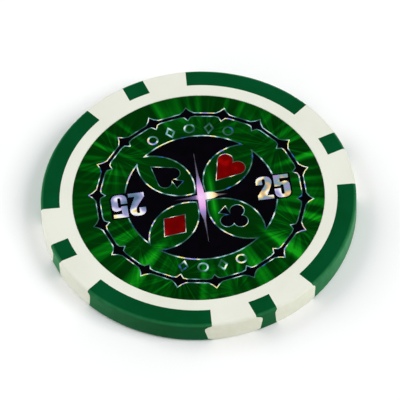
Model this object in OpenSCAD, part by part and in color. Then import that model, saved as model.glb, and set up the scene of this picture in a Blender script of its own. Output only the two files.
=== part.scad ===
// Weighted two-colour poker chip.
// A stamped steel slug is moulded inside a white disc. Pockets in the disc's rim are filled by
// green edge spots, held by a key on every pocket wall. A foil label is stuck in a shallow recess
// in each face.
// The origin is the centre of the lower face, +Z is up, and +X runs through the first long spot.

/* [Chip] */
// Outside diameter
chip_d = 40; // [39:0.1:42]
// Thickness over the two rim faces
chip_t = 3.3; // [3.1:0.05:3.8]
// Rounding where each face turns into the edge
edge_r = 0.4; // [0.2:0.05:0.6]

/* [Edge spots] */
// Long spots round the rim, with a short spot midway between each two
spot_pairs = 4; // [3:1:5]
// Angle that a long spot covers
long_spot_angle = 49; // [40:1:52]
// Width of a short spot, between its two straight ends
short_spot_w = 2.85; // [2.4:0.05:3.6]
// How far the spots reach in from the rim
spot_depth = 2.4; // [2:0.1:2.8]
// How far the key on the anticlockwise end of a long pocket reaches into its spot
long_key_depth = 0.9; // [0.4:0.05:1.1]
// How far the shallower key on the other end of a long pocket reaches into its spot
long_heel_depth = 0.4; // [0.2:0.05:0.6]
// How far the key on the clockwise end of a short pocket reaches into its spot
short_key_depth = 0.8; // [0.4:0.05:0.9]
// How far the shallower key on the other end of a short pocket reaches into its spot
short_heel_depth = 0.25; // [0.2:0.05:0.6]
// Distance from each face to the foot of an end key
key_inset = 0.25; // [0.2:0.05:0.4]
// Height from each foot of an end key to its shoulder
key_shoulder_h = 0.2; // [0.15:0.05:0.3]
// Depth of the shoulder as a share of the key's whole depth
key_shoulder_share = 0.6; // [0.4:0.05:0.8]
// Height of the blunt tip of an end key
key_tip_h = 0.4; // [0.2:0.05:0.6]
// How far the middle of the tip lies above the middle of the chip
key_tip_rise = 0.65; // [0:0.05:0.7]
// How far the key on the inner wall of a pocket reaches into its spot
inner_key_depth = 0.5; // [0.3:0.05:0.8]
// Height of the inner key at its foot
inner_foot_h = 1; // [0.9:0.05:1.3]
// Height of the inner key at its tip
inner_tip_h = 0.6; // [0.5:0.05:0.8]

/* [Labels] */
// Width of the white ring between the spots and the recess for the label
ring_w = 1.6; // [1:0.05:2.5]
// Gap all round between the label and the wall of its recess
label_gap = 0.05; // [0.03:0.01:0.15]
// Depth of the recess in each face
recess_depth = 0.2; // [0.18:0.01:0.3]
// Rounding of the lip round the recess
lip_r = 0.1; // [0.05:0.01:0.15]
// Thickness of the adhesive under the foil
adhesive_t = 0.05; // [0.03:0.01:0.07]
// Thickness of the printed foil
foil_t = 0.1; // [0.06:0.01:0.11]

/* [Weight slug] */
// Plastic left between the slug and the pockets for the spots
slug_wall = 3.35; // [2:0.05:5]
// Thickness of the slug
slug_t = 1.8; // [1.2:0.1:2]
// Chamfer on both edges of the slug
slug_chamfer = 0.2; // [0.1:0.05:0.4]
// Diameter of the hole that the plastic is fed through
feed_hole_d = 4; // [3:0.5:6]
// Diameter of the holes that the plastic locks through
flow_hole_d = 3; // [2:0.25:4]
// Distance from the slug's edge to the centres of these holes
flow_edge = 4.25; // [3:0.25:5]
// Number of these holes
flow_holes = 6; // [3:1:8]
// Diameter of the wells left by the pins that hold the slug in the mould
pin_well_d = 2.2; // [1.5:0.1:2.6]
// Distance from the feed hole's wall to the centres of the wells
pin_edge = 3.5; // [2.5:0.25:4]
// Number of wells in each face
pin_wells = 3; // [3:1:5]

/* [Hidden] */
white_abs = "#e8e7da";
green_abs = "#06502c";
foil_green = "#0a6a1c";
adhesive_clear = "#d9dcc4";
slug_steel = "#8d9196";

chip_r = chip_d / 2;
mid_z = chip_t / 2;
spot_in_r = chip_r - spot_depth;
spot_step = 360 / spot_pairs;
recess_r = spot_in_r - ring_w;
recess_floor_z = chip_t - recess_depth;
label_r = recess_r - label_gap;
slug_r = spot_in_r - slug_wall;
flow_circle_r = slug_r - flow_edge;
pin_circle_r = feed_hole_d / 2 + pin_edge;
slug_low_z = mid_z - slug_t / 2;
slug_high_z = mid_z + slug_t / 2;
key_foot_h = chip_t - 2 * key_inset;
key_waist_h = key_foot_h - 2 * key_shoulder_h;
// Overrun of every cut past the face that it opens through
past = 0.5;
$fn = 128;

SPOTS = [1:spot_pairs];

// Moulded outline

// What a rounding of radius r takes off a square corner, drawn from the arc's own centre
module corner_cut(r) {
    difference() {
        square(r + past);
        circle(r);
    }
}

// Repeats a half-section's cut on the upper face and, mirrored, on the lower face
module both_faces_section() {
    children();
    translate([0, chip_t]) mirror([0, 1]) children();
}

// Half-section of the whole chip without its labels: rounded edge, and a lipped recess in each face
module chip_section() {
    difference() {
        square([chip_r, chip_t]);
        both_faces_section() {
            translate([chip_r - edge_r, chip_t - edge_r]) corner_cut(edge_r);
            translate([0, recess_floor_z]) square([recess_r, recess_depth + past]);
            translate([recess_r + lip_r, chip_t - lip_r]) mirror([1, 0]) corner_cut(lip_r);
        }
    }
}

module chip_outline() {
    rotate_extrude() chip_section();
}

// Keyed rim pockets

// Height of a key whose sloping flanks are run on behind its wall, past its foot
function back_h(foot_h, next_h, run) = foot_h + (foot_h - next_h) * past / run;

// Section of an end key on a wall at X = 0, pointing along +X: a steep shoulder rises from each foot,
// and a gentler flank runs on from it to the blunt tip, which lies nearer to the upper face
module end_key_section(depth) {
    shoulder = depth * key_shoulder_share;
    back = back_h(key_foot_h, key_waist_h, shoulder);
    polygon([
        [-past, -back / 2],
        [shoulder, -key_waist_h / 2],
        [depth, key_tip_rise - key_tip_h / 2],
        [depth, key_tip_rise + key_tip_h / 2],
        [shoulder, key_waist_h / 2],
        [-past, back / 2]
    ]);
}

// Section of the inner key, in the same place: plain sloping flanks and a blunt tip
module inner_key_section() {
    back = back_h(inner_foot_h, inner_tip_h, inner_key_depth);
    polygon([
        [-past, -back / 2],
        [inner_key_depth, -inner_tip_h / 2],
        [inner_key_depth, inner_tip_h / 2],
        [-past, back / 2]
    ]);
}

// Key along a straight end wall that lies on the XZ plane, pointing along +Y
module end_key(depth) {
    translate([spot_in_r - past, 0, mid_z])
        rotate([90, 0, 90])
            linear_extrude(spot_depth + 2 * past) end_key_section(depth);
}

// Half-section of the band of rim that the pockets are cut from, less the key on its inner wall
module pocket_section() {
    difference() {
        translate([spot_in_r, -past]) square([spot_depth + past, chip_t + 2 * past]);
        translate([spot_in_r, mid_z]) inner_key_section();
    }
}

// Pocket for a long spot, centred on +X, with radial ends
module long_pocket() {
    half = long_spot_angle / 2;
    difference() {
        rotate(-half) rotate_extrude(angle = long_spot_angle) pocket_section();
        rotate(-half) end_key(long_heel_depth);
        rotate(half) mirror([0, 1, 0]) end_key(long_key_depth);
    }
}

// Pocket for a short spot, centred on +X, with parallel ends
module short_pocket() {
    half = short_spot_w / 2;
    difference() {
        intersection() {
            rotate_extrude() pocket_section();
            translate([0, -half, -past]) cube([chip_r + past, short_spot_w, chip_t + 2 * past]);
        }
        translate([0, -half, 0]) end_key(short_key_depth);
        translate([0, half, 0]) mirror([0, 1, 0]) end_key(short_heel_depth);
    }
}

module at_long_spot(i) {
    rotate((i - 1) * spot_step) children();
}

module at_short_spot(i) {
    rotate((i - 0.5) * spot_step) children();
}

// Steel slug

module slug_holes() {
    translate([0, 0, -past]) cylinder(d = feed_hole_d, h = chip_t + 2 * past);
    for (i = [1:flow_holes])
        rotate(i * 360 / flow_holes)
            translate([flow_circle_r, 0, -past])
                cylinder(d = flow_hole_d, h = chip_t + 2 * past);
}

module steel_slug() {
    color(slug_steel)
        difference() {
            rotate_extrude()
                polygon([
                    [0, slug_low_z],
                    [slug_r - slug_chamfer, slug_low_z],
                    [slug_r, slug_low_z + slug_chamfer],
                    [slug_r, slug_high_z - slug_chamfer],
                    [slug_r - slug_chamfer, slug_high_z],
                    [0, slug_high_z]
                ]);
            slug_holes();
        }
}

// White body

// Wells from both recess floors down to the slug, where the mould's pins held it, midway between
// the flow holes
module pin_well_cuts() {
    for (i = [1:pin_wells])
        rotate(i * 360 / pin_wells + 180 / flow_holes)
            translate([pin_circle_r, 0, 0]) {
                translate([0, 0, -past]) cylinder(d = pin_well_d, h = slug_low_z + past);
                translate([0, 0, slug_high_z]) cylinder(d = pin_well_d, h = chip_t - slug_high_z + past);
            }
}

module white_body() {
    color(white_abs)
        difference() {
            chip_outline();
            for (i = SPOTS) {
                at_long_spot(i) long_pocket();
                at_short_spot(i) short_pocket();
            }
            steel_slug();
            pin_well_cuts();
        }
}

// Green edge spots

module long_edge_spot(i) {
    color(green_abs)
        intersection() {
            chip_outline();
            at_long_spot(i) long_pocket();
        }
}

module short_edge_spot(i) {
    color(green_abs)
        intersection() {
            chip_outline();
            at_short_spot(i) short_pocket();
        }
}

// Labels

// Turns what is drawn for the upper face over on to the lower face
module on_lower_face() {
    translate([0, 0, chip_t]) rotate([180, 0, 0]) children();
}

module label_adhesive() {
    color(adhesive_clear)
        translate([0, 0, recess_floor_z]) cylinder(r = label_r, h = adhesive_t);
}

module label_foil() {
    color(foil_green)
        translate([0, 0, recess_floor_z + adhesive_t]) cylinder(r = label_r, h = foil_t);
}

steel_slug();
white_body();
for (i = SPOTS) {
    long_edge_spot(i);
    short_edge_spot(i);
}
label_adhesive();  // upper_label_adhesive
label_foil();  // upper_label_foil
on_lower_face() label_adhesive();  // lower_label_adhesive
on_lower_face() label_foil();  // lower_label_foil
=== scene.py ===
# %% [markdown]
# # A weighted poker chip
# The chip is a white moulded disc with a steel weight inside, eight green spots moulded into its rim
# and a printed foil label stuck in a shallow recess in each face. The solids come from the packed
# model and stay where they are. This lesson sets the camera, the light and the floor, gives every
# solid the finish of its real material, and prints the two labels as thin layers of ink and foil.

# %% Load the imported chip
import math

import bmesh
import bpy
from mathutils import Matrix, Vector


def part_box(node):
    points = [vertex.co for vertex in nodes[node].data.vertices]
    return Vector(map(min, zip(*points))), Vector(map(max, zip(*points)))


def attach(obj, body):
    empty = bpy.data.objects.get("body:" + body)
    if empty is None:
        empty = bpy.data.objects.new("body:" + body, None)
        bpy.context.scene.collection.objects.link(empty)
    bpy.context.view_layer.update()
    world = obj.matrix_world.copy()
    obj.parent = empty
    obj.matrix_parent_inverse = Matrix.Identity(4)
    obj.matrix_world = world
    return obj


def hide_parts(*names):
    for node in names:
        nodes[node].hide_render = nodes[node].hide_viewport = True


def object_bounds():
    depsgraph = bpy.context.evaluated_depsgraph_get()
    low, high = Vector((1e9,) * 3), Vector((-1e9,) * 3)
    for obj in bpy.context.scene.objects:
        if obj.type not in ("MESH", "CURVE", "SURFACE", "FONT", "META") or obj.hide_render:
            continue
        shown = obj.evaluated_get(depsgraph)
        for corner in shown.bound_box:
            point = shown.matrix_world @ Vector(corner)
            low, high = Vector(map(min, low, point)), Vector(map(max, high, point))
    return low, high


MM = 0.001
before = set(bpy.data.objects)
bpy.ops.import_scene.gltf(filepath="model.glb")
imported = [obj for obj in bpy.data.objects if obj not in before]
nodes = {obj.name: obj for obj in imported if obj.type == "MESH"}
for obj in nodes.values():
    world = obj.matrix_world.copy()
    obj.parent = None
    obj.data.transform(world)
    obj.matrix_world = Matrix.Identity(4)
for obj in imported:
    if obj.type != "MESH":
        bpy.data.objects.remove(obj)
cad_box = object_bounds()

chip_r = cad_box[1].x
chip_t = cad_box[1].z
foil_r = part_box("upper_label_foil")[1].x
foil_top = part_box("upper_label_foil")[1].z
print(f"chip {2 * chip_r / MM:.1f} mm across and {chip_t / MM:.2f} mm thick, {len(nodes)} solids")
print(f"label {2 * foil_r / MM:.1f} mm across, {(chip_t - foil_top) / MM:.2f} mm below the rim's face")

# %% [markdown]
# ## Camera
# The photograph was taken from well above and a little to one side, from far enough away that the
# chip's far edge is hardly smaller than its near one. A long lens at that distance gives the same
# view. The picture also leans a little, so the camera is rolled about its own axis. Building the
# camera's three axes as vectors says this more plainly than three Euler angles would.

# %% Set up the camera
view_azimuth = math.radians(21.6)
view_elevation = math.radians(54.07)
view_roll = math.radians(2.425)
camera_distance = 770 * MM
aim_right = 0.115 * MM
aim_up = 1.458 * MM
lens_length = 545.6
sensor_w = 36

level = Vector((math.cos(view_azimuth), math.sin(view_azimuth), 0))
back = Vector((
    math.sin(view_azimuth) * math.cos(view_elevation),
    -math.cos(view_azimuth) * math.cos(view_elevation),
    math.sin(view_elevation),
))
upright = back.cross(level)
right = level * math.cos(view_roll) - upright * math.sin(view_roll)
up = level * math.sin(view_roll) + upright * math.cos(view_roll)

camera = bpy.data.objects.new("camera", bpy.data.cameras.new("camera"))
camera.data.sensor_width = sensor_w
camera.data.lens = lens_length
camera.matrix_world = Matrix((right, up, back)).transposed().to_4x4()
camera.location = right * aim_right + up * aim_up + back * camera_distance
bpy.context.scene.collection.objects.link(camera)
bpy.context.scene.camera = camera
bpy.context.scene.view_settings.view_transform = "Standard"
print(f"camera {camera_distance:.2f} m away, {lens_length:.0f} mm lens")

# %% [markdown]
# ## Nodes and colours
# Every finish below is a small tree of nodes. One helper adds a node, sets its properties and fills
# its inputs with values or with links, so a finish reads as a list of what it is made of. Colours are
# written as sRGB hex values, the way a paint chart gives them, and turned to the linear values that
# the renderer works with.

# %% Helpers for materials
def add_node(tree, kind, settings=None, inputs=None):
    """Adds one node, sets its properties, and fills its inputs with values or links."""
    node = tree.nodes.new(kind)
    for name, value in (settings or {}).items():
        setattr(node, name, value)
    for name, value in (inputs or {}).items():
        if isinstance(value, bpy.types.NodeSocket):
            tree.links.new(value, node.inputs[name])
        else:
            node.inputs[name].default_value = value
    return node


def linear(hex_colour):
    """Turns an sRGB hex colour to linear red, green, blue and alpha."""
    shares = [int(hex_colour[i:i + 2], 16) / 255 for i in (1, 3, 5)]
    return [s / 12.92 if s <= 0.04045 else ((s + 0.055) / 1.055) ** 2.4 for s in shares] + [1]


def set_ramp(node, stops):
    """Gives a colour ramp its stops, as pairs of a place from 0 to 1 and a hex colour."""
    elements = node.color_ramp.elements
    while len(elements) < len(stops):
        elements.new(1)
    for element, (place, hex_colour) in zip(elements, stops):
        element.position = place
        element.color = linear(hex_colour)


def new_material(name):
    """Makes a material and returns it with its tree and its one surface shader."""
    material = bpy.data.materials.new(name)
    material.use_nodes = True
    return material, material.node_tree, material.node_tree.nodes["Principled BSDF"]


print("white at half strength is", [round(c, 3) for c in linear("#bcbcbc")[:3]])

# %% [markdown]
# ## Studio
# The chip lies on a white sheet between two wide soft lamps. The right one stands a little nearer to
# the camera and the left one a little farther back, so there is a soft shadow on the left, another
# on the lower right, and none behind the chip. The room is white near the floor and grey above, so a
# glossy label that looks up at the ceiling stays dark, as it does in the photograph. The lamps and
# the room together light a level white sheet to just about white.

# %% Lamps, room and floor
lamp_distance = 700 * MM
lamp_azimuth = view_azimuth - math.radians(20)
lamp_watts = {"right": 2.9, "left": 2.8}
lamp_w = {"right": 380 * MM, "left": 560 * MM}
lamp_elevation = {"right": math.radians(44), "left": math.radians(36)}

across = Vector((math.cos(lamp_azimuth), math.sin(lamp_azimuth), 0))
for side, watts in lamp_watts.items():
    lamp = bpy.data.objects.new(f"{side}_lamp", bpy.data.lights.new(f"{side}_lamp", "AREA"))
    lamp.data.size = lamp_w[side]
    lamp.data.energy = watts
    outward = Vector((0, 0, math.sin(lamp_elevation[side])))
    outward += across * math.cos(lamp_elevation[side]) * (1 if side == "right" else -1)
    lamp.location = outward * lamp_distance
    lamp.rotation_euler = outward.to_track_quat("Z", "Y").to_euler()
    bpy.context.scene.collection.objects.link(lamp)

room = bpy.data.worlds.new("room")
room.use_nodes = True
bpy.context.scene.world = room
direction = add_node(room.node_tree, "ShaderNodeTexCoord")
height = add_node(
    room.node_tree, "ShaderNodeSeparateXYZ", {}, {0: direction.outputs["Generated"]})
walls = add_node(room.node_tree, "ShaderNodeValToRGB", {}, {0: height.outputs["Z"]})
set_ramp(walls, [(0.12, "#ffffff"), (0.45, "#b6b7b9"), (0.7, "#8e9092")])
background = room.node_tree.nodes["Background"]
room.node_tree.links.new(walls.outputs["Color"], background.inputs["Color"])

floor_r = 2.5
floor_gap = 0.02 * MM
floor_sides = 96
floor_bm = bmesh.new()
bmesh.ops.create_circle(floor_bm, cap_ends=True, segments=floor_sides, radius=floor_r)
bmesh.ops.translate(floor_bm, verts=floor_bm.verts, vec=(0, 0, -floor_gap))
floor_mesh = bpy.data.meshes.new("floor")
floor_bm.to_mesh(floor_mesh)
floor_bm.free()
floor = bpy.data.objects.new("floor", floor_mesh)
bpy.context.scene.collection.objects.link(floor)

sheet, _, sheet_shader = new_material("matt_white_card")
sheet_shader.inputs["Base Color"].default_value = linear("#fdfdfd")
sheet_shader.inputs["Roughness"].default_value = 0.9
sheet_shader.inputs["Specular IOR Level"].default_value = 0.1
floor.data.materials.append(sheet)
print("lamps:", ", ".join(f"{side} {watts} W" for side, watts in lamp_watts.items()))

# %% [markdown]
# ## Moulded ABS
# The body and the spots are ABS, an even, slightly waxy plastic with a satin skin. The steel mould
# is finished with a fine spark texture, and the plastic copies it as a grain of about a tenth of a
# millimetre, which is drawn three times as coarse here so that it shows. Handling wears the rim: its
# rounded edges are rubbed, the white soils there and the green turns pale, and on the green that pale
# edge is also a painted highlight. The wall of the rim carries painted light and shade: the white wall
# is painted darker towards the front as painted shade, and the green wall paler on the other sides as
# a painted sheen. So each plastic has one share of this colour for the front and another for the
# other sides. The chip is round, so a material finds all these places by the distance from the axis,
# the height above the middle and how far a place lies towards the front.

# %% Finish of the moulded plastic
grain_w = 0.3 * MM
mottle_w = 5 * MM
scuff_w = 0.9 * MM
rounded_edge = 0.4 * MM
front_bearing = math.radians(290)
front_side = Vector((math.cos(front_bearing), math.sin(front_bearing), 0))
front_from = 0.45
scuff_range = (0.5, 1.5)
satin_range = (0.3, 0.42)
grain_h = grain_w / 10


def moulded_abs(name, colours, wear_and_light_colour, front_light_and_shade, side_light_and_shade, edge_wear_and_highlight, gloss):
    """Satin ABS with a moulded grain, a slow change of colour, painted light and shade on the rim's
    wall, and rubbed edges with a painted highlight.
    """
    material, tree, shader = new_material(name)
    place = add_node(tree, "ShaderNodeTexCoord").outputs["Object"]
    mottle = add_node(tree, "ShaderNodeTexNoise", {}, {
        "Vector": place, "Scale": 1 / mottle_w, "Detail": 4})
    plain = add_node(tree, "ShaderNodeValToRGB", {}, {0: mottle.outputs[0]})
    set_ramp(plain, [(0.35, colours[0]), (0.65, colours[1])])

    flat = add_node(tree, "ShaderNodeVectorMath", {"operation": "MULTIPLY"}, {0: place, 1: (1, 1, 0)})
    reach = add_node(tree, "ShaderNodeVectorMath", {"operation": "LENGTH"}, {0: flat.outputs[0]})
    near_rim = add_node(tree, "ShaderNodeMapRange", {}, {
        0: reach.outputs["Value"], 1: chip_r - rounded_edge, 2: chip_r})
    axes = add_node(tree, "ShaderNodeSeparateXYZ", {}, {0: place})
    rise = add_node(tree, "ShaderNodeMath", {"operation": "SUBTRACT"}, {
        0: axes.outputs["Z"], 1: chip_t / 2})
    off_middle = add_node(tree, "ShaderNodeMath", {"operation": "ABSOLUTE"}, {0: rise.outputs[0]})
    # Painted light and shade on the rim's wall: a share that changes from the front to the other sides.
    towards_front = add_node(tree, "ShaderNodeVectorMath", {"operation": "DOT_PRODUCT"}, {
        0: place, 1: front_side / chip_r})
    wall_light_and_shade = add_node(tree, "ShaderNodeMapRange", {}, {
        0: towards_front.outputs["Value"], 1: front_from, 2: 1, 3: side_light_and_shade, 4: front_light_and_shade})
    near_face = add_node(tree, "ShaderNodeMapRange", {}, {
        0: off_middle.outputs[0], 1: chip_t / 2 - rounded_edge, 2: chip_t / 2,
        3: wall_light_and_shade.outputs[0], 4: edge_wear_and_highlight})
    on_edge = add_node(tree, "ShaderNodeMath", {"operation": "MULTIPLY"}, {
        0: near_rim.outputs[0], 1: near_face.outputs[0]})
    scuffs = add_node(tree, "ShaderNodeTexNoise", {}, {
        "Vector": place, "Scale": 1 / scuff_w, "Detail": 3})
    uneven = add_node(tree, "ShaderNodeMapRange", {}, {
        0: scuffs.outputs[0], 3: scuff_range[0], 4: scuff_range[1]})
    wear_and_light = add_node(tree, "ShaderNodeMath", {"operation": "MULTIPLY"}, {
        0: on_edge.outputs[0], 1: uneven.outputs[0]})
    # The mixed colour is real wear on the rubbed edges, and painted shade or painted sheen on the wall
    # and a painted highlight on the green's edges.
    tinted = add_node(tree, "ShaderNodeMix", {"data_type": "RGBA"}, {
        0: wear_and_light.outputs[0], 6: plain.outputs["Color"], 7: linear(wear_and_light_colour)})
    tree.links.new(tinted.outputs[2], shader.inputs["Base Color"])

    satin = add_node(tree, "ShaderNodeMapRange", {}, {
        0: scuffs.outputs[0], 3: satin_range[0], 4: satin_range[1]})
    tree.links.new(satin.outputs[0], shader.inputs["Roughness"])
    shader.inputs["IOR"].default_value = 1.54
    shader.inputs["Specular IOR Level"].default_value = gloss
    grain = add_node(tree, "ShaderNodeTexNoise", {}, {
        "Vector": place, "Scale": 1 / grain_w, "Detail": 2})
    bump = add_node(tree, "ShaderNodeBump", {}, {
        "Strength": 0.25, "Distance": grain_h, "Height": grain.outputs[0]})
    tree.links.new(bump.outputs[0], shader.inputs["Normal"])
    return material


# White: painted shade on the front wall and soiling on the edges. Green: painted sheen on the side
# walls, and pale wear with a painted highlight on the edges.
white_abs = moulded_abs(
    "moulded_white_ABS", ("#e5e7da", "#e0e2d3"), "#c4c4a8",
    front_light_and_shade=0.5, side_light_and_shade=0.15, edge_wear_and_highlight=0.2, gloss=0.07)
green_abs = moulded_abs(
    "moulded_green_ABS", ("#024b27", "#01451f"), "#3a8c57",
    front_light_and_shade=0.02, side_light_and_shade=0.65, edge_wear_and_highlight=0.6, gloss=0.02)
print("finishes:", white_abs.name, "and", green_abs.name)

# %% [markdown]
# ## Body and spots
# The green plastic is shot into pockets of the white one, and shrinks a little as it cools. That
# leaves a hairline groove where the two meet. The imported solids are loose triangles, so each is
# copied and welded, its flat faces are joined, and a small bevel rounds the edges that show. The
# Weighted Normal modifier then keeps the flat faces flat right up to the rounded edge.

# %% Copy the moulded solids and round their seams
weld_gap = 0.0002 * MM
flat_angle = math.radians(0.2)
sharp_angle = math.radians(28)
seam_r = 0.03 * MM
skin = 0.005 * MM


def on_skin(vertex):
    """True where the vertex lies on the chip's outside: a face or the rounded rim."""
    on_face = min(abs(vertex.co.z), abs(vertex.co.z - chip_t)) < skin
    return on_face or vertex.co.xy.length > chip_r - rounded_edge - skin


def moulded_copy(name, material):
    """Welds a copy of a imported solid, rounds its seams, and lets it stand for the solid."""
    bm = bmesh.new()
    bm.from_mesh(nodes[name].data)
    bmesh.ops.remove_doubles(bm, verts=bm.verts, dist=weld_gap)
    bmesh.ops.dissolve_limit(bm, angle_limit=flat_angle, verts=bm.verts, edges=bm.edges)
    seams = [
        edge for edge in bm.edges
        if edge.calc_face_angle(0) > sharp_angle and all(on_skin(v) for v in edge.verts)]
    bmesh.ops.bevel(
        bm, geom=seams, offset=seam_r, affect="EDGES", segments=2, profile=0.5, material=-1,
        clamp_overlap=True)
    bmesh.ops.remove_doubles(bm, verts=bm.verts, dist=weld_gap)
    bmesh.ops.dissolve_degenerate(bm, edges=bm.edges, dist=weld_gap)
    for face in bm.faces:
        face.smooth = True
        face.material_index = 0
    for edge in bm.edges:
        edge.smooth = edge.calc_face_angle(0) < sharp_angle
    mesh = bpy.data.meshes.new(f"moulded_{name}")
    bm.to_mesh(mesh)
    bm.free()
    for layer in [a for a in mesh.attributes if a.name == "custom_normal"]:
        mesh.attributes.remove(layer)
    mesh.materials.append(material)
    piece = bpy.data.objects.new(f"moulded_{name}", mesh)
    bpy.context.scene.collection.objects.link(piece)
    weighted = piece.modifiers.new("flat faces stay flat", "WEIGHTED_NORMAL")
    weighted.keep_sharp = True
    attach(piece, "root")
    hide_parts(name)
    print(f"{piece.name}: {len(seams)} seam edges, {len(mesh.polygons)} faces")


moulded_copy("white_body", white_abs)
for name in [name for name in nodes if "edge_spot" in name]:
    moulded_copy(name, green_abs)

# %% [markdown]
# ## Inside the chip
# The slug is punched from mild steel strip. Rolling leaves fine lines all one way, so a noise that
# is stretched along the strip roughens and tints it. The adhesive under each label is a film of
# clear acrylic, milky where air is trapped in it. Neither shows until the chip is taken apart.

# %% Finish of the slug and the adhesive
rolling_w = 0.15 * MM
rolling_length = 12 * MM
steel, steel_tree, steel_shader = new_material("rolled_mild_steel")
steel_place = add_node(steel_tree, "ShaderNodeTexCoord").outputs["Object"]
strip = add_node(steel_tree, "ShaderNodeMapping", {}, {
    "Vector": steel_place, "Scale": (1 / rolling_length, 1 / rolling_w, 1 / rolling_w)})
rolling = add_node(steel_tree, "ShaderNodeTexNoise", {}, {
    "Vector": strip.outputs[0], "Scale": 1, "Detail": 3})
steel_tint = add_node(steel_tree, "ShaderNodeValToRGB", {}, {0: rolling.outputs[0]})
set_ramp(steel_tint, [(0.3, "#7f8387"), (0.7, "#a5a8aa")])
steel_rough = add_node(steel_tree, "ShaderNodeMapRange", {}, {0: rolling.outputs[0], 3: 0.3, 4: 0.5})
steel_tree.links.new(steel_tint.outputs["Color"], steel_shader.inputs["Base Color"])
steel_tree.links.new(steel_rough.outputs[0], steel_shader.inputs["Roughness"])
steel_shader.inputs["Metallic"].default_value = 1
nodes["steel_slug"].material_slots[0].material = steel

bubble_w = 1.2 * MM
adhesive, adhesive_tree, adhesive_shader = new_material("acrylic_adhesive")
adhesive_place = add_node(adhesive_tree, "ShaderNodeTexCoord").outputs["Object"]
bubbles = add_node(adhesive_tree, "ShaderNodeTexVoronoi", {}, {
    "Vector": adhesive_place, "Scale": 1 / bubble_w})
milky = add_node(adhesive_tree, "ShaderNodeValToRGB", {}, {0: bubbles.outputs["Distance"]})
set_ramp(milky, [(0.1, "#e6e8d8"), (0.5, "#d3d6c2")])
adhesive_tree.links.new(milky.outputs["Color"], adhesive_shader.inputs["Base Color"])
adhesive_shader.inputs["Roughness"].default_value = 0.25
adhesive_shader.inputs["IOR"].default_value = 1.47
for face in ("upper", "lower"):
    nodes[f"{face}_label_adhesive"].material_slots[0].material = adhesive
print("steel on the slug, acrylic on both adhesive films")

# %% [markdown]
# ## Where a label lies
# The label was stuck on by hand or by a simple press, so its print is a little off the chip's centre
# and turned against the spots. All the print is drawn in millimetres about its own centre, and one
# matrix for each face carries it to its place. The lower face has the same label, turned over. The
# materials need the way back, from the chip to the print, and a Mapping node of the Texture type
# undoes the same turn, shift and scale.

# %% Places of the two labels
label_turn = math.radians(27.6)
label_shift = Vector((0.344, 0.029, 0)) * MM

upper_place = Matrix.Translation(label_shift) @ Matrix.Rotation(label_turn, 4, "Z")
turned_over = Matrix.Translation((0, 0, chip_t)) @ Matrix.Rotation(math.pi, 4, "X")
label_places = {"upper": upper_place, "lower": turned_over @ upper_place}
label_mapping = {
    face: {
        "Location": (place.translation.x, place.translation.y, 0),
        "Rotation": place.to_euler(),
        "Scale": (MM, MM, MM),
    }
    for face, place in label_places.items()
}
for face, place in label_places.items():
    print(face, "label turned to", [round(math.degrees(a), 1) for a in place.to_euler()])

# %% [markdown]
# ## Holographic foil
# The label is polyester film with a metal coating, embossed with thousands of fine grooves and dyed
# green. The grooves run out from many centres, so the film glints in fans of rays, and a large burst
# of them runs out from near the middle over the outer band. These glints are painted highlights where
# they lie: a noise that is read by the direction from a centre gives rays of uneven width, and a ramp
# over the distance lets them start and fade softly. The fans and the burst are added up, a slow noise
# makes some stretches of film lighter than others, and a ramp turns the sum to the green dye with its
# painted glints. One narrow streak of light beside the middle, a painted highlight, crosses the film
# from top to bottom.

# %% Finish of the foil
fan_centres = [
    (-9.8, 7.8), (2.2, 10.0), (10.6, 6.4), (11.6, -6.6), (2.4, -15.0), (-8.6, -6.2), (-4.2, -11.5),
]
fan = {
    "reach": 8, "rays": 8.5, "strength": 0.56,
    "fade": [(0, "#303030"), (0.25, "#ffffff"), (0.5, "#d0d0d0"), (1, "#000000")],
}
burst_centre = (0.8, 1.2)
burst = {
    "reach": 16, "rays": 10, "strength": 1,
    "fade": [(0.5, "#000000"), (0.8, "#ffffff"), (1, "#e0e0e0")],
}
ray_range = (0.46, 0.78)
seed_step = 5
patch_w = 7
patch_range = (0.3, 0.7)
patch_strength = 0.25
streak_x = 1.45
streak_half_w = 0.7
streak_full_h = 2
streak_half_h = 5.2
streak_strength = 0.85
dye_and_glint_tints = [
    (0, "#002603"), (0.2, "#003205"), (0.4, "#004708"),
    (0.6, "#025e0b"), (0.8, "#08740e"), (1, "#129414"),
]


def label_coordinates(tree, face):
    """Place on one label's print, in millimetres, level with the film."""
    place = add_node(tree, "ShaderNodeTexCoord").outputs["Object"]
    label = add_node(tree, "ShaderNodeMapping", {"vector_type": "TEXTURE"}, {
        "Vector": place, **label_mapping[face]})
    level_only = add_node(tree, "ShaderNodeVectorMath", {"operation": "MULTIPLY"}, {
        0: label.outputs[0], 1: (1, 1, 0)})
    return level_only.outputs[0]


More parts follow.
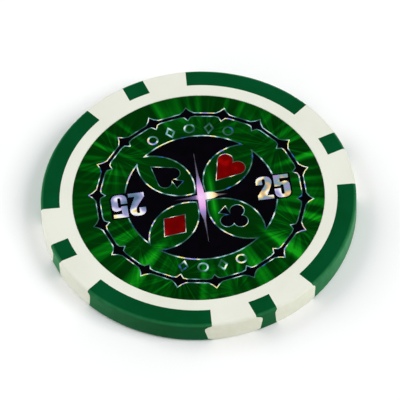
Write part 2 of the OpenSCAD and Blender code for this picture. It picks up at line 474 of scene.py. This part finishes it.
def add_fan(tree, label, centre, kind, seed, glints):
    """Adds the rays of one fan, or of the burst, to the glints of the others."""
    outward = add_node(tree, "ShaderNodeVectorMath", {"operation": "SUBTRACT"}, {
        0: label, 1: (*centre, 0)})
    heading = add_node(tree, "ShaderNodeVectorMath", {"operation": "NORMALIZE"}, {0: outward.outputs[0]})
    spread = add_node(tree, "ShaderNodeVectorMath", {"operation": "MULTIPLY_ADD"}, {
        0: heading.outputs[0], 1: (kind["rays"], kind["rays"], 0), 2: (0, 0, seed * seed_step)})
    noise = add_node(tree, "ShaderNodeTexNoise", {}, {
        "Vector": spread.outputs[0], "Scale": 1, "Detail": 1.5, "Roughness": 0.5})
    rays = add_node(tree, "ShaderNodeMapRange", {}, {
        0: noise.outputs[0], 1: ray_range[0], 2: ray_range[1], 4: kind["strength"]})
    distance = add_node(tree, "ShaderNodeVectorMath", {"operation": "LENGTH"}, {0: outward.outputs[0]})
    share = add_node(tree, "ShaderNodeMapRange", {}, {0: distance.outputs["Value"], 2: kind["reach"]})
    fade = add_node(tree, "ShaderNodeValToRGB", {}, {0: share.outputs[0]})
    set_ramp(fade, kind["fade"])
    return add_node(tree, "ShaderNodeMath", {"operation": "MULTIPLY_ADD"}, {
        0: rays.outputs[0], 1: fade.outputs[0], 2: glints}).outputs[0]


def add_streak(tree, label, glints):
    """Adds the painted highlight: a narrow streak of light beside the middle."""
    sides = add_node(tree, "ShaderNodeSeparateXYZ", {}, {0: label})
    off = add_node(tree, "ShaderNodeMath", {"operation": "SUBTRACT"}, {
        0: sides.outputs["X"], 1: streak_x})
    off_side = add_node(tree, "ShaderNodeMath", {"operation": "ABSOLUTE"}, {0: off.outputs[0]})
    off_end = add_node(tree, "ShaderNodeMath", {"operation": "ABSOLUTE"}, {0: sides.outputs["Y"]})
    width = add_node(tree, "ShaderNodeMapRange", {}, {
        0: off_side.outputs[0], 2: streak_half_w, 3: streak_strength, 4: 0})
    length = add_node(tree, "ShaderNodeMapRange", {}, {
        0: off_end.outputs[0], 1: streak_full_h, 2: streak_half_h, 3: 1, 4: 0})
    return add_node(tree, "ShaderNodeMath", {"operation": "MULTIPLY_ADD"}, {
        0: width.outputs[0], 1: length.outputs[0], 2: glints}).outputs[0]


def holographic_foil(face):
    """Green dyed film with fans of embossed rays, painted as glints."""
    material, tree, shader = new_material(f"holographic_polyester_{face}")
    label = label_coordinates(tree, face)
    patches = add_node(tree, "ShaderNodeTexNoise", {}, {
        "Vector": label, "Scale": 1 / patch_w, "Detail": 2})
    glints = add_node(tree, "ShaderNodeMapRange", {}, {
        0: patches.outputs[0], 1: patch_range[0], 2: patch_range[1], 4: patch_strength}).outputs[0]
    for seed, centre in enumerate(fan_centres):
        glints = add_fan(tree, label, centre, fan, seed, glints)
    glints = add_fan(tree, label, burst_centre, burst, len(fan_centres), glints)
    glints = add_streak(tree, label, glints)
    # The ramp gives the green dye and, in its lighter stops, the painted glints.
    dye_and_glints = add_node(tree, "ShaderNodeValToRGB", {}, {0: glints})
    set_ramp(dye_and_glints, dye_and_glint_tints)
    tree.links.new(dye_and_glints.outputs["Color"], shader.inputs["Base Color"])
    shader.inputs["Roughness"].default_value = 0.2
    shader.inputs["Specular IOR Level"].default_value = 0.02
    return material


for face in label_places:
    nodes[f"{face}_label_foil"].material_slots[0].material = holographic_foil(face)
print(len(fan_centres), "fans of rays and one burst on each foil")

# %% [markdown]
# ## Drawing the print
# The print is made of flat outlines of straight and round stretches. A pen draws them: extruding a
# single vertex makes a straight stretch and spinning it about a centre makes a round one. Half of a
# symmetrical outline is enough, because the mirror operator draws the rest. The closed outline is
# filled as one face. An inset then splits off a narrow band all round, which is left as bare silver
# foil, and the middle takes the ink. Every face remembers its ink in its material index.

# %% A pen for flat outlines
SILVER, BLACK, RED = range(3)
weld = 0.0005
arc_step = 4
least_steps = 3
drawing = bmesh.new()


class Pen:
    """Draws one outline on the label, in millimetres, stretch after stretch."""

    def __init__(self, x, y):
        self.bm = bmesh.new()
        self.tip = self.bm.verts.new((x, y, 0))

    def line(self, x, y):
        self.tip = bmesh.ops.extrude_vert_indiv(self.bm, verts=[self.tip])["verts"][0]
        self.tip.co = (x, y, 0)
        return self

    def arc(self, x, y, degrees):
        swept = bmesh.ops.spin(
            self.bm, geom=[self.tip], cent=(x, y, 0), axis=(0, 0, 1), angle=math.radians(degrees),
            steps=max(least_steps, round(abs(degrees) / arc_step)))
        self.tip = next(part for part in swept["geom_last"] if isinstance(part, bmesh.types.BMVert))
        return self

    def mirrored(self):
        half = self.bm.verts[:] + self.bm.edges[:]
        bmesh.ops.mirror(self.bm, geom=half, axis="Y", merge_dist=weld)
        return self

    def filled(self):
        bmesh.ops.remove_doubles(self.bm, verts=self.bm.verts, dist=weld)
        bmesh.ops.contextual_create(self.bm, geom=self.bm.edges)
        return self.bm


def edge_in_silver(bm, width, ink):
    """Leaves a band of bare silver round the faces and inks what lies inside it."""
    middle = bm.faces[:]
    band = bmesh.ops.inset_region(
        bm, faces=middle, thickness=width, use_boundary=True, use_even_offset=True)
    for face in band["faces"]:
        face.material_index = SILVER
    for face in middle:
        face.material_index = ink
    return bm


def move_into(target, bm):
    """Adds all of one drawing to another and frees the first."""
    carrier = bpy.data.meshes.new("carrier")
    bm.to_mesh(carrier)
    bm.free()
    target.from_mesh(carrier)
    bpy.data.meshes.remove(carrier)


def add_to_drawing(bm, degrees=0):
    """Turns a shape about the label's centre and adds it to the drawing."""
    bmesh.ops.rotate(bm, verts=bm.verts, matrix=Matrix.Rotation(math.radians(degrees), 3, "Z"))
    move_into(drawing, bm)


print(f"arcs in steps of about {arc_step} degrees, points closer than {weld} mm become one")

# %% [markdown]
# ## The cross
# The black cross is a disc with four leaf-shaped windows. Each leaf is where two circles overlap, and
# its outer point runs off the edge of the disc, so the disc falls into four arms that meet at the
# centre. One arm is two leaf arcs and a piece of the disc's own edge. Three copies of it, spun about
# the centre, complete the outline.

# %% Print the cross
cross_r = 9.75
leaf_r = 5.4
leaf_far = 6.05
leaf_near = 1.9
line_w = 0.16
arm_count = 4

leaf_reach = math.hypot(leaf_far, leaf_near)
leaf_bearing = math.atan2(leaf_near, leaf_far)
edge_from_leaf = math.acos((cross_r ** 2 + leaf_reach ** 2 - leaf_r ** 2) / (2 * cross_r * leaf_reach))
arm_edge = leaf_bearing + edge_from_leaf
diagonal_mid = (leaf_far + leaf_near) / 2
diagonal_off = (leaf_far - leaf_near) / 2
leaf_point = diagonal_mid - math.sqrt(leaf_r ** 2 / 2 - diagonal_off ** 2)
from_angle = math.atan2(leaf_point - leaf_near, leaf_point - leaf_far) % (2 * math.pi)
to_angle = math.atan2(cross_r * math.sin(arm_edge) - leaf_near, cross_r * math.cos(arm_edge) - leaf_far)
leaf_sweep = math.degrees(from_angle - to_angle)
arm_sweep = 180 - 2 * math.degrees(arm_edge)

arm = Pen(leaf_point, leaf_point)
arm.arc(leaf_far, leaf_near, -leaf_sweep).arc(0, 0, arm_sweep).arc(-leaf_far, leaf_near, -leaf_sweep)
bmesh.ops.spin(
    arm.bm, geom=arm.bm.verts[:] + arm.bm.edges[:], cent=(0, 0, 0), axis=(0, 0, 1),
    angle=2 * math.pi * (arm_count - 1) / arm_count, steps=arm_count - 1, use_duplicate=True)
add_to_drawing(edge_in_silver(arm.filled(), line_w, BLACK))
print(f"cross {2 * cross_r:.1f} mm across, leaves open by {90 - arm_sweep:.1f} degrees")

# %% [markdown]
# ## The four suits
# A pip of each suit stands in each leaf, with its foot or point towards the centre. Heart and spade
# share one construction: a round lobe on each side, and a straight line that touches the lobe without
# a corner and runs to the point. The club is three lobes that cut into each other, and the diamond is
# four straight lines. All of them are drawn along +X and then turned into their leaf.

# %% Print the suits
pip_line_w = 0.085
foot_half_w = 0.75
foot_x = 3.25
stem_half_w = 0.3


def touch_point(point_x, lobe_x, lobe_y, lobe_r):
    """Where a straight line from a point on the axis touches the outer side of a lobe."""
    distance = math.hypot(lobe_x - point_x, lobe_y)
    side = math.copysign(1, lobe_x - point_x)
    slant = math.atan2(lobe_y, abs(lobe_x - point_x)) + math.asin(lobe_r / distance)
    run = math.sqrt(distance ** 2 - lobe_r ** 2)
    return point_x + side * run * math.cos(slant), run * math.sin(slant)


def arc_between(pen, x, y, end_x, end_y, turn):
    """Swings the pen about a centre to the bearing of an end point; turn is 1 or -1."""
    start = math.atan2(pen.tip.co.y - y, pen.tip.co.x - x)
    end = math.atan2(end_y - y, end_x - x)
    return pen.arc(x, y, turn * math.degrees((turn * (end - start)) % (2 * math.pi)))


def heart():
    """Notch, lobe and point, mirrored."""
    lobe_x, lobe_y, lobe_r, point_x = 6.4, 0.97, 1.06, 3.1
    notch_x = lobe_x + math.sqrt(lobe_r ** 2 - lobe_y ** 2)
    pen = Pen(notch_x, 0)
    arc_between(pen, lobe_x, lobe_y, *touch_point(point_x, lobe_x, lobe_y, lobe_r), 1)
    return pen.line(point_x, 0).mirrored().filled()


def spade():
    """Point, lobe, stem and foot, mirrored."""
    lobe_x, lobe_y, lobe_r, point_x = 5.1, 0.85, 0.95, 8.1
    stem_x = lobe_x - math.sqrt(lobe_r ** 2 - (lobe_y - stem_half_w) ** 2)
    pen = Pen(point_x, 0).line(*touch_point(point_x, lobe_x, lobe_y, lobe_r))
    arc_between(pen, lobe_x, lobe_y, stem_x, stem_half_w, 1)
    pen.line(foot_x, foot_half_w).line(foot_x, 0)
    return pen.mirrored().filled()


def club():
    """Half of the top lobe, one side lobe, stem and foot, mirrored."""
    top_x, side_x, side_y, lobe_r = 6.3, 4.95, 0.98, 0.97
    apart = math.hypot(top_x - side_x, side_y)
    reach = math.sqrt(lobe_r ** 2 - apart ** 2 / 4)
    meet_x = (top_x + side_x) / 2 + reach * side_y / apart
    meet_y = side_y / 2 + reach * (top_x - side_x) / apart
    stem_x = side_x - math.sqrt(lobe_r ** 2 - (side_y - stem_half_w) ** 2)
    pen = Pen(top_x + lobe_r, 0)
    arc_between(pen, top_x, 0, meet_x, meet_y, 1)
    arc_between(pen, side_x, side_y, stem_x, stem_half_w, 1)
    pen.line(foot_x, foot_half_w).line(foot_x, 0)
    return pen.mirrored().filled()


def diamond():
    """Two straight sides, mirrored."""
    near_x, far_x, half_w = 3.25, 7.72, 1.82
    return Pen(far_x, 0).line((near_x + far_x) / 2, half_w).line(near_x, 0).mirrored().filled()


suits = ((heart, RED, 45), (spade, BLACK, 135), (diamond, RED, 225), (club, BLACK, 315))
for pip, ink, bearing in suits:
    add_to_drawing(edge_in_silver(pip(), pip_line_w, ink), bearing)
    print(pip.__name__, "at", bearing, "degrees")

# %% [markdown]
# ## The ring of stars
# A black line runs round the label with a four-pointed star on every twentieth degree. One sector of
# the ring is drawn, half a step to each side of its star. Copies are spun round and welded. The
# inset then works on all the sectors as one region, so the silver follows only the outer and the
# inner edge and leaves no seam between sectors.

# %% Print the ring of stars
star_count = 18
ring_r = 13.2
ring_half_w = 0.33
star_reach = 1.14
star_waist = (0.55, 0.46)
star_root = 0.95
ring_line_w = 0.12
first_star_bearing = 90

half_step = math.pi / star_count
chord_slope = math.tan(half_step)


def on_sector_side(offset):
    """Point on the sector's straight side where the ring's edge crosses it."""
    distance = ring_r * math.cos(half_step) + offset
    return distance * math.cos(half_step), distance * math.sin(half_step)


def along_chord(y, offset):
    """Point on the ring's edge at a distance y to one side of the star."""
    return ring_r - y * chord_slope + offset / math.cos(half_step), y


sector = Pen(ring_r + star_reach, 0)
sector.line(ring_r + star_waist[0], star_waist[1]).line(*along_chord(star_root, ring_half_w))
sector.line(*on_sector_side(ring_half_w)).line(*on_sector_side(-ring_half_w))
sector.line(*along_chord(star_root, -ring_half_w)).line(ring_r - star_waist[0], star_waist[1])
sector.line(ring_r - star_reach, 0)
ring = sector.mirrored().filled()
bmesh.ops.spin(
    ring, geom=ring.verts[:] + ring.edges[:] + ring.faces[:], cent=(0, 0, 0), axis=(0, 0, 1),
    angle=2 * math.pi * (star_count - 1) / star_count, steps=star_count - 1, use_duplicate=True)
bmesh.ops.remove_doubles(ring, verts=ring.verts, dist=weld)
bmesh.ops.recalc_face_normals(ring, faces=ring.faces)
add_to_drawing(edge_in_silver(ring, ring_line_w, BLACK), first_star_bearing)
print(f"ring of {star_count} stars, {2 * ring_r:.1f} mm across")

# %% [markdown]
# ## Small ornaments
# Between the cross and the ring, the label has a row of small silver figures above and another below.
# They are plain lozenges and circles of thin line. A circle of four segments is a lozenge, so one
# operator draws both, and what is left of it when an inset's middle is deleted is the line.

# %% Print the ornaments
ornament_r = 10.9
ornament_step = 13.2
ornament_line_w = 0.23
lozenge_half_h = 0.93
lozenge_half_w = 0.68
lozenge_sides = 4
circlet_r = 0.72
circlet_sides = 24
ornament_rows = ((5, 90), (4, 270))


def small_ornament(sides, half_h, half_w):
    """One figure of thin line, drawn on the +X axis."""
    bm = bmesh.new()
    bmesh.ops.create_circle(bm, cap_ends=True, segments=sides, radius=1)
    bmesh.ops.rotate(bm, verts=bm.verts, matrix=Matrix.Rotation(math.pi / 2, 3, "Z"))
    bmesh.ops.scale(bm, verts=bm.verts, vec=(half_h, half_w, 1))
    bmesh.ops.translate(bm, verts=bm.verts, vec=(ornament_r, 0, 0))
    edge_in_silver(bm, ornament_line_w, BLACK)
    inside = [face for face in bm.faces if face.material_index == BLACK]
    bmesh.ops.delete(bm, geom=inside, context="FACES")
    return bm


for count, bearing in ornament_rows:
    for i in range(count):
        off_middle = i - (count - 1) / 2
        if (i + count) % 2:
            ornament = small_ornament(circlet_sides, circlet_r, circlet_r)
        else:
            ornament = small_ornament(lozenge_sides, lozenge_half_h, lozenge_half_w)
        add_to_drawing(ornament, bearing + off_middle * ornament_step)
print("drawing has", len(drawing.faces), "faces")

# %% [markdown]
# ## Finishes of the print
# The bare foil is bright metal that splits light, so its lines glint white, yellow, blue and lilac
# along their length, and these glints are painted into its colour. A noise about two millimetres wide
# walks through those tints. Black is a dense screen ink with almost no gloss of its own. Red is a clear
# lacquer over the foil, which shows through it as darker and lighter clouds.

# %% Materials of the print
tint_w = 1.7 * MM
cloud_w = 1.4 * MM
line_glint_tints = [
    (0.26, "#3a74c0"), (0.34, "#1c4046"), (0.42, "#2c5a4a"), (0.48, "#467262"), (0.54, "#7cb2bc"),
    (0.59, "#f4f8f2"), (0.64, "#f4ec78"), (0.7, "#b8a4e8"), (0.77, "#5a8edc"),
]
black_tints = [(0.3, "#010002"), (0.7, "#040208")]
red_tints = [(0.3, "#600000"), (0.5, "#6a0000"), (0.6, "#720000"), (0.72, "#900302")]


def tinted_print(name, pattern_w, stops, roughness, specular, drift_per_m=0):
    """Print whose colour wanders through a few tints, and may drift from left to right."""
    material, tree, shader = new_material(name)
    place = add_node(tree, "ShaderNodeTexCoord").outputs["Object"]
    wander = add_node(tree, "ShaderNodeTexNoise", {}, {
        "Vector": place, "Scale": 1 / pattern_w, "Detail": 1, "Roughness": 0.5})
    across_label = Vector((math.cos(label_turn), math.sin(label_turn), 0)) * drift_per_m
    drift = add_node(tree, "ShaderNodeVectorMath", {"operation": "DOT_PRODUCT"}, {
        0: place, 1: across_label})
    drifted = add_node(tree, "ShaderNodeMath", {"operation": "ADD"}, {
        0: wander.outputs[0], 1: drift.outputs["Value"]})
    tint = add_node(tree, "ShaderNodeValToRGB", {}, {0: drifted.outputs[0]})
    set_ramp(tint, stops)
    tree.links.new(tint.outputs["Color"], shader.inputs["Base Color"])
    shader.inputs["Roughness"].default_value = roughness
    shader.inputs["Specular IOR Level"].default_value = specular
    return material


# The silver lines' changing tints are painted glints.
silver_foil = tinted_print("bare_silver_foil", tint_w, line_glint_tints, roughness=0.3, specular=0.1)
black_ink = tinted_print("black_screen_ink", cloud_w, black_tints, roughness=0.35, specular=0.03)
red_lacquer = tinted_print("clear_red_lacquer", cloud_w, red_tints, roughness=0.3, specular=0.02)
print("materials of the print:", ", ".join(m.name for m in (silver_foil, black_ink, red_lacquer)))

# %% [markdown]
# ## Layers on the label
# A printed layer is a few thousandths of a millimetre thick. Each ink's faces are copied out of the
# drawing and extruded to that thickness, which makes closed plates. The plates start just inside
# the film, so that no two faces lie in one plane, and they end well below the rim's face.

# %% Lay the inks on both labels
ink_root = 0.001
ink_t = 0.006


def lay_on_labels(name, flat_bm, low, high, material):
    """Makes plates of flat faces, from low to high above the film, and lays them on both labels."""
    for face, place in label_places.items():
        bm = flat_bm.copy()
        raised = bmesh.ops.extrude_face_region(bm, geom=bm.faces)["geom"]
        tops = [part for part in raised if isinstance(part, bmesh.types.BMVert)]
        bmesh.ops.translate(bm, verts=bm.verts, vec=(0, 0, low))
        bmesh.ops.translate(bm, verts=tops, vec=(0, 0, high - low))
        bmesh.ops.recalc_face_normals(bm, faces=bm.faces)
        bmesh.ops.scale(bm, verts=bm.verts, vec=(MM, MM, MM))
        bmesh.ops.translate(bm, verts=bm.verts, vec=(0, 0, foil_top))
        bmesh.ops.transform(bm, verts=bm.verts, matrix=place)
        open_edges = sum(len(edge.link_faces) != 2 for edge in bm.edges)
        mesh = bpy.data.meshes.new(f"{face}_{name}")
        bm.to_mesh(mesh)
        bm.free()
        mesh.materials.append(material)
        piece = bpy.data.objects.new(f"{face}_{name}", mesh)
        bpy.context.scene.collection.objects.link(piece)
        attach(piece, "root")
        print(f"{piece.name}: {len(mesh.polygons)} faces, {open_edges} open edges")


def one_ink(ink):
    """Copy of the drawing that keeps the faces of one ink."""
    bm = drawing.copy()
    others = [face for face in bm.faces if face.material_index != ink]
    bmesh.ops.delete(bm, geom=others, context="FACES")
    for face in bm.faces:
        face.material_index = 0
    return bm


lay_on_labels("silver_lines", one_ink(SILVER), -ink_root, ink_t, silver_foil)
lay_on_labels("black_print", one_ink(BLACK), -ink_root, ink_t, black_ink)
lay_on_labels("red_print", one_ink(RED), -ink_root, ink_t, red_lacquer)

# %% [markdown]
# ## The numerals
# The value stands on the cross's right arm, and upside down on its left one, so that it reads from
# both sides of a table. Its figures are heavy and narrow, with upright stems, round corners and mere
# slots between the strokes, so the pen draws them as it drew the suits. A black plate lies under each
# pair of figures, and shows as an edge round them where they reach past the cross.

# %% Print the numerals
numeral_x = 9.25
numeral_y = 0.13
figure_x = 1.12
figure_half_w = 1
figure_half_h = 1.77
figure_corner_r = 0.8
bar_h = 0.55
slot_r = 0.2
numeral_edge_w = 0.2
numeral_low = ink_t - ink_root
numeral_step = 0.005
plate_top = ink_t + numeral_step

corner_x = figure_half_w - figure_corner_r
corner_y = figure_half_h - figure_corner_r
bar_y = figure_half_h - bar_h


def figure_two():
    """Foot, slanting stem, round head, and the slot under it."""
    terminal_y, slot_y, slot_foot_y = 0.55, 1.2, 0.75
    knee_x, knee_y, head_foot_y = 0.8, 0.1, 0.7
    slant_top_y, slant_foot_y = 0.42, -1.15
    pen = Pen(-figure_half_w, -figure_half_h).line(figure_half_w, -figure_half_h)
    pen.line(figure_half_w, -bar_y).line(corner_x, -bar_y).line(knee_x, knee_y)
    pen.line(figure_half_w, head_foot_y).line(figure_half_w, corner_y).arc(corner_x, corner_y, 90)
    pen.line(-corner_x, figure_half_h).arc(-corner_x, corner_y, 90)
    pen.line(-figure_half_w, terminal_y).line(-slot_r, terminal_y)
    pen.line(-slot_r, slot_y).arc(0, slot_y, -180).line(slot_r, slot_foot_y)
    pen.line(slot_r / 2, slant_top_y).line(-figure_half_w, slant_foot_y)
    return pen.line(-figure_half_w, -figure_half_h).filled()


def figure_five():
    """Bar and upper stem, a bowl with a slot in it, and a gap between the stem and the bowl's end."""
    bar_half_w, stem_foot_y, end_y, slot_y = 0.94, 0.03, -0.33, -1.1
    bowl_y, bowl_r, bowl_root_y = 0.15, 0.6, 0.6
    pen = Pen(-bar_half_w, figure_half_h).line(-bar_half_w, stem_foot_y).line(-slot_r, stem_foot_y)
    pen.arc(0, stem_foot_y, -180).line(slot_r, slot_y).arc(0, slot_y, -180).line(-slot_r, end_y)
    pen.line(-figure_half_w, end_y).line(-figure_half_w, -corner_y).arc(-corner_x, -corner_y, 90)
    pen.line(corner_x, -figure_half_h).arc(corner_x, -corner_y, 90).line(figure_half_w, bowl_y)
    pen.arc(figure_half_w - bowl_r, bowl_y, 90).line(-slot_r, bowl_root_y).line(-slot_r, bar_y)
    pen.line(bar_half_w, bar_y).line(bar_half_w, figure_half_h)
    return pen.line(-bar_half_w, figure_half_h).filled()


def figure_plate():
    """Black plate that reaches past both figures by the width of their edge."""
    side_x = figure_x + figure_half_w + numeral_edge_w
    top_y = figure_half_h + numeral_edge_w
    turn_x = figure_x + corner_x
    pen = Pen(-side_x, -top_y).line(turn_x, -top_y).arc(turn_x, -corner_y, 90)
    pen.line(side_x, top_y).line(-turn_x, top_y).arc(-turn_x, corner_y, 90)
    return pen.line(-side_x, -top_y).filled()


def on_both_arms(shapes):
    """Sets shapes on the cross's right arm and, upside down, on its left one."""
    both = bmesh.new()
    for shape, x in shapes:
        bmesh.ops.translate(shape, verts=shape.verts, vec=(numeral_x + x, numeral_y, 0))
        move_into(both, shape)
    bmesh.ops.spin(
        both, geom=both.verts[:] + both.edges[:] + both.faces[:], cent=(0, numeral_y, 0),
        axis=(0, 0, 1), angle=math.pi, steps=1, use_duplicate=True)
    return both


# The figures are bare foil whose tints, and their drift across the label, are painted glints.
numeral_glint_tints = [
    (0.25, "#56728a"), (0.34, "#8090b2"), (0.41, "#9892c0"), (0.46, "#c8c4e4"), (0.53, "#f4f4f4"),
    (0.57, "#faf2a6"), (0.61, "#dcb080"), (0.65, "#749ca4"), (0.73, "#9a8aba"),
]
facet_w = 2.1 * MM
drift_at_numeral = 0.115
numeral_foil = tinted_print(
    "numeral_silver_foil", facet_w, numeral_glint_tints, roughness=0.3, specular=0.1,
    drift_per_m=drift_at_numeral / (numeral_x * MM))
plates = on_both_arms([(figure_plate(), 0)])
lay_on_labels("numeral_edges", plates, numeral_low, plate_top, black_ink)
figures = on_both_arms([(figure_two(), -figure_x), (figure_five(), figure_x)])
lay_on_labels("numerals", figures, plate_top - ink_root, plate_top + numeral_step, numeral_foil)

# %% [markdown]
# ## The needle star
# At the middle of the cross, the foil is left bare in the shape of a long needle and a short one. The
# long one catches the light as a pink flare that fades towards its points, painted into its colour. The
# short one is dim, but for a painted white and yellow glint to the right. The outline is one line
# through a list of points, and two ramps read the colour from the place on the label, one up and down
# and one across.

# %% Print the needle star
needle_points = [
    (0, 7.05), (0.13, 3.4), (0.4, 1.5), (0.48, 0.6), (1.0, 0.62), (1.6, 0.55), (2.1, 0.2), (3.45, 0),
    (2.1, -0.15), (1.6, -0.4), (1.0, -0.5), (0.48, -0.5), (0.36, -2.0), (0.12, -3.6), (0, -7.1),
    (-0.13, -3.6), (-0.46, -2.2), (-0.44, -0.35), (-1.6, -0.16), (-3.5, 0), (-1.6, 0.16),
    (-0.42, 0.35), (-0.36, 1.5), (-0.12, 3.4),
]
needle_reach = 7.1
across_reach = 3.5
long_needle_range = (0.3, 0.7)
up_down_tints = [
    (0, "#f4c8f2"), (0.2, "#e2a6e4"), (0.33, "#9c86c2"),
    (0.5, "#6c667c"), (0.85, "#36363c"), (0.95, "#7c7c82"),
]
# The white and yellow stretch across the short needle is a painted glint.
across_tints = [
    (0, "#16141c"), (0.3, "#4a4262"), (0.43, "#7c6a9a"), (0.55, "#c8a4cc"), (0.62, "#fbf8f2"),
    (0.7, "#fff6c8"), (0.76, "#f0c88c"), (0.82, "#6a5f5c"), (1, "#1c1c20"),
]


def needle_star():
    """Outline of both needles."""
    pen = Pen(*needle_points[0])
    for point in needle_points[1:] + needle_points[:1]:
        pen.line(*point)
    return pen.filled()


def flare_foil(face):
    """Bare foil with a painted flare and glint that follow the two needles."""
    material, tree, shader = new_material(f"flaring_silver_foil_{face}")
    sides = add_node(tree, "ShaderNodeSeparateXYZ", {}, {0: label_coordinates(tree, face)})
    height = add_node(tree, "ShaderNodeMath", {"operation": "ABSOLUTE"}, {0: sides.outputs["Y"]})
    aside = add_node(tree, "ShaderNodeMath", {"operation": "ABSOLUTE"}, {0: sides.outputs["X"]})
    height_share = add_node(tree, "ShaderNodeMapRange", {}, {0: height.outputs[0], 2: needle_reach})
    across_share = add_node(tree, "ShaderNodeMapRange", {}, {
        0: sides.outputs["X"], 1: -across_reach, 2: across_reach})
    up_down = add_node(tree, "ShaderNodeValToRGB", {}, {0: height_share.outputs[0]})
    set_ramp(up_down, up_down_tints)
    across_ramp = add_node(tree, "ShaderNodeValToRGB", {}, {0: across_share.outputs[0]})
    set_ramp(across_ramp, across_tints)
    off_long = add_node(tree, "ShaderNodeMapRange", {}, {
        0: aside.outputs[0], 1: long_needle_range[0], 2: long_needle_range[1]})
    flare = add_node(tree, "ShaderNodeMix", {"data_type": "RGBA"}, {
        0: off_long.outputs[0], 6: up_down.outputs["Color"], 7: across_ramp.outputs["Color"]})
    tree.links.new(flare.outputs[2], shader.inputs["Base Color"])
    shader.inputs["Roughness"].default_value = 0.3
    shader.inputs["Specular IOR Level"].default_value = 0.1
    return material


lay_on_labels("needle_star", needle_star(), numeral_low, plate_top, flare_foil("upper"))
bpy.data.objects["lower_needle_star"].material_slots[0].material = flare_foil("lower")
